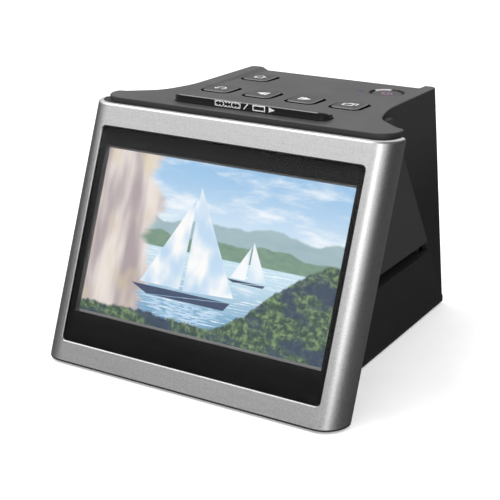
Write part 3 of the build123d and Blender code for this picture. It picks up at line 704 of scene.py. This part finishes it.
def add_screw(bm, x, y):
    """Pan-head screw seen from below: rounded rim, cross recess, shank above the head."""
    rim = [(SCREW_HEAD, SCREW_SEAT), (SCREW_HEAD, 0.5), (SCREW_HEAD - 0.15, 0.2), (SCREW_HEAD - 0.5, 0.0)]
    profile = [(SCREW_SHANK, SCREW_TIP), (SCREW_SHANK, SCREW_SEAT)] + rim
    angles = [2 * pi * i / SCREW_TURNS for i in range(SCREW_TURNS)]
    rings = []
    for radius, height in profile:
        rings.append([bm.verts.new(at(x + radius * cos(a), y + radius * sin(a), height)) for a in angles])
    for lower, upper in zip(rings, rings[1:]):
        for i in range(SCREW_TURNS):
            j = (i + 1) % SCREW_TURNS
            bm.faces.new((lower[i], lower[j], upper[j], upper[i]))
    bm.faces.new(rings[0])
    mouth = [bm.verts.new(at(x + u, y + v, 0.0)) for u, v in cross_outline(*CROSS_MOUTH)]
    root = [bm.verts.new(at(x + u, y + v, CROSS_DEPTH)) for u, v in cross_outline(*CROSS_ROOT)]
    count = len(mouth)
    edges = [bm.edges.new((mouth[i], mouth[(i + 1) % count])) for i in range(count)]
    rim_end = rings[-1]
    edges += [bm.edges.get((rim_end[i], rim_end[(i + 1) % SCREW_TURNS])) for i in range(SCREW_TURNS)]
    bmesh.ops.triangle_fill(bm, use_beauty=True, edges=edges)
    for i in range(count):
        j = (i + 1) % count
        bm.faces.new((mouth[i], mouth[j], root[j], root[i]))
    bm.faces.new(root)


def underside_screws(material):
    """The four screws of the underside, with cross recesses."""
    bm = bmesh.new()
    for place in SCREW_PLACES:
        add_screw(bm, *place)
    piece = new_piece("underside_screws", bm, "housing", material)
    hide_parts("base_screws")


def socket_contacts(material):
    """Gilt contact fingers on the tongues of the rear sockets."""
    bm = bmesh.new()
    rear = SOCKET_REAR - CONTACT_SETBACK
    front = rear - CONTACT_LENGTH
    for x, height, count, pitch in CONTACT_ROWS:
        low = SOCKET_LOW + height / 2 + CONTACT_RAISE
        high = low + CONTACT_THICKNESS
        for i in range(count):
            left = x + (i - (count - 1) / 2) * pitch - CONTACT_SHARE * pitch
            right = left + 2 * CONTACT_SHARE * pitch
            ring = ((left, rear), (right, rear), (right, front), (left, front))
            add_prism(bm, [at(u, v, low) for u, v in ring], [at(u, v, high) for u, v in ring])
    new_piece("socket_contacts", bm, "housing", material)


# ---- lights, floor, camera
def area_light(name, place, target, size, power):
    lamp = bpy.data.lights.new(name, "AREA")
    lamp.shape = "RECTANGLE"
    lamp.size, lamp.size_y = size
    lamp.energy = power
    holder = bpy.data.objects.new(name, lamp)
    holder.location = place
    holder.rotation_euler = (Vector(target) - Vector(place)).to_track_quat("-Z", "Y").to_euler()
    scene.collection.objects.link(holder)


def studio():
    """White sweep all round, and the lamps. What polished pieces mirror of the sweep fades towards the
    floor, the zenith and both sides."""
    world = bpy.data.worlds.new("studio")
    scene.world = world
    world.use_nodes = True
    graph = Graph.of(world)
    direction = graph.node("ShaderNodeTexCoord").outputs["Generated"]
    parts = graph.node("ShaderNodeSeparateXYZ", {0: direction}).outputs
    height = graph.calc("MULTIPLY", graph.ramp(parts[2], *SWEEP_BAND, *MIRRORED_SWEEP),
                        graph.ramp(parts[2], *ZENITH_BAND, 1.0, MIRRORED_ZENITH))
    left = graph.ramp(parts[0], *LEFT_BAND, MIRRORED_LEFT, 1.0)
    right = graph.ramp(parts[0], *RIGHT_BAND, 1.0, MIRRORED_RIGHT)
    mirrored = graph.calc("MULTIPLY", height, graph.calc("MULTIPLY", left, right))
    glossy = graph.node("ShaderNodeLightPath").outputs["Is Glossy Ray"]
    strength = graph.node("ShaderNodeMix", {0: glossy, 2: SWEEP_LEVEL, 3: mirrored}).outputs[0]
    graph.feed(graph.tree.nodes["Background"].inputs["Color"], grey(1.0))
    graph.feed(graph.tree.nodes["Background"].inputs["Strength"], strength)
    for lamp in LAMPS:
        area_light(*lamp)


def floor():
    """Pale floor that reaches past every view; from below it lets the underside show, lit."""
    bm = bmesh.new()
    bmesh.ops.create_grid(bm, x_segments=FLOOR_CELLS, y_segments=FLOOR_CELLS, size=FLOOR_HALF)
    mesh = bpy.data.meshes.new("floor")
    bm.to_mesh(mesh)
    bm.free()
    ground = bpy.data.objects.new("floor", mesh)
    scene.collection.objects.link(ground)
    graph = Graph("floor_paper")
    fibre = graph.noise(graph.object_point(), 60.0, 2.0)
    paper = graph.blend(graph.ramp(fibre, *EVEN), grey(0.90), grey(0.93))
    ray = graph.node("ShaderNodeLightPath").outputs
    graph.set("Base Color", graph.blend(ray["Is Glossy Ray"], paper, grey(MIRRORED_FLOOR)))
    graph.set("Emission Color", paper)
    graph.set("Emission Strength", graph.calc("MULTIPLY", ray["Is Camera Ray"], FLOOR_GLOW))
    graph.set("Roughness", 0.9)
    graph.set("Specular IOR Level", 0.1)
    back = graph.node("ShaderNodeNewGeometry").outputs["Backfacing"]
    under = graph.calc("LESS_THAN", ray["Ray Length"], UNDERSIDE_RAY)
    graph.set("Alpha", graph.calc("SUBTRACT", 1.0, graph.calc("MAXIMUM", back, under)))
    mesh.materials.append(graph.material)


def camera():
    """The photograph's camera: place, direction and roll solved from the frame's straight edges."""
    forward = Vector((-sin(CAMERA_TURN) * cos(CAMERA_DROP), cos(CAMERA_TURN) * cos(CAMERA_DROP),
                      -sin(CAMERA_DROP)))
    level_right = Vector((cos(CAMERA_TURN), sin(CAMERA_TURN), 0))
    level_down = forward.cross(level_right)
    right = cos(CAMERA_ROLL) * level_right + sin(CAMERA_ROLL) * level_down
    up = sin(CAMERA_ROLL) * level_right - cos(CAMERA_ROLL) * level_down
    lens = bpy.data.cameras.new("camera")
    lens.lens = CAMERA_LENS
    lens.sensor_width = CAMERA_SENSOR
    lens.clip_start = CAMERA_NEAR
    holder = bpy.data.objects.new("camera", lens)
    turn = Matrix((right, up, -forward)).transposed().to_4x4()
    holder.matrix_world = Matrix.Translation(at(*CAMERA_PLACE)) @ turn
    scene.collection.objects.link(holder)
    scene.camera = holder


# ---- finishes of the CAD nodes
def dress_nodes():
    """Gives each CAD node the finish of its slot, or its own, and returns the finishes by slot."""
    finishes = {
        "brushed_aluminium": aluminium(),
        "dark_plastic": moulded("dark_plastic", grey(0.015), 0.62, shine=0.3),
        # The cover's walls take painted shade, darker towards the bottom, and its front faces a lighter
        # painted tone for the light they catch.
        "grey_plastic": paint_shade_by_facing(moulded("cover_plastic", grey(COVER_TONE), 0.55, depth=0.00004),
                                  side=WALL_SHADE_TONES, front=COVER_FRONT_LIGHT_TONE),
        "window_glass": clear_glass("window_glass", grey(0.98), 1.2),
        "black_print": printed_black(),
        "steel": metal("plated_steel", (0.60, 0.60, 0.61, 1), 0.28),
        "display": moulded("display_module", grey(0.02), 0.35),
        "white_plastic": moulded("white_plastic", grey(0.78), 0.5, fleck=0.03),
        "rubber": moulded("rubber", grey(0.018), 0.85, grain=1800.0, depth=0.00006),
        "opal_plastic": moulded("opal_plastic", grey(0.80), 0.45, fleck=0.02),
        "board_green": circuit_board(),
        "black_plastic": moulded("flocked_black", grey(0.012), 0.9, grain=4200.0, depth=0.00008),
        "lens_glass": clear_glass("lens_glass", (0.92, 0.95, 1.0, 1.0), 1.5),
        "chip_black": moulded("chip_black", grey(0.02), 0.5),
        "brass": metal("brass", (0.65, 0.48, 0.22, 1), 0.3),
        "gloss_black": moulded("gloss_black", grey(0.011), 0.22, grain=1400.0, depth=0.000004, coat=0.5),
        "led_blue": glowing("led_blue", (0.007, 0.007, 0.08, 1.0)),
        # Key sides are painted near black as shade, and the bevelled rims carry a painted highlight.
        "key_grey": paint_shade_by_facing(moulded("key_plastic", grey(KEY_TONE), 0.36, depth=0.00002, shine=0.2),
                              side=(GAP_SHADE_TONE,), rim=KEY_RIM_HIGHLIGHT_TONE, turn=KEY_SIDE_TO_TOP),
    }
    own = {
        # The film gate's top faces are painted darker, as shade.
        "film_gate": paint_shade_by_facing(moulded("gate_plastic", grey(GATE_TONE), 0.62, shine=0.3),
                               top=GATE_TOP_SHADE_TONE),
        "lcd_frame": moulded("module_frame", grey(0.34), 0.5, grain=600.0, depth=0.000002, fleck=0.03),
        "power_button": moulded("button_black", grey(0.022), 0.42, depth=0.00001, shine=0.35),
        "power_ring": dished_ring_painted_highlight(),
    }
    slots = {s["node"]: s["material_slot"] for s in frame["record"]["subparts"]}
    for name, node in frame["nodes"].items():
        node.data.materials.clear()
        node.data.materials.append(own.get(name, finishes[slots[name]]))
    return finishes


finishes = dress_nodes()
display_picture()
all_key_print()
underside_screws(finishes["steel"])
socket_contacts(finishes["brass"])
painted_key_gap_shade(moulded("gap_shade_black", grey(GAP_SHADE_TONE), 0.9, shine=0.0))
studio()
floor()
camera()
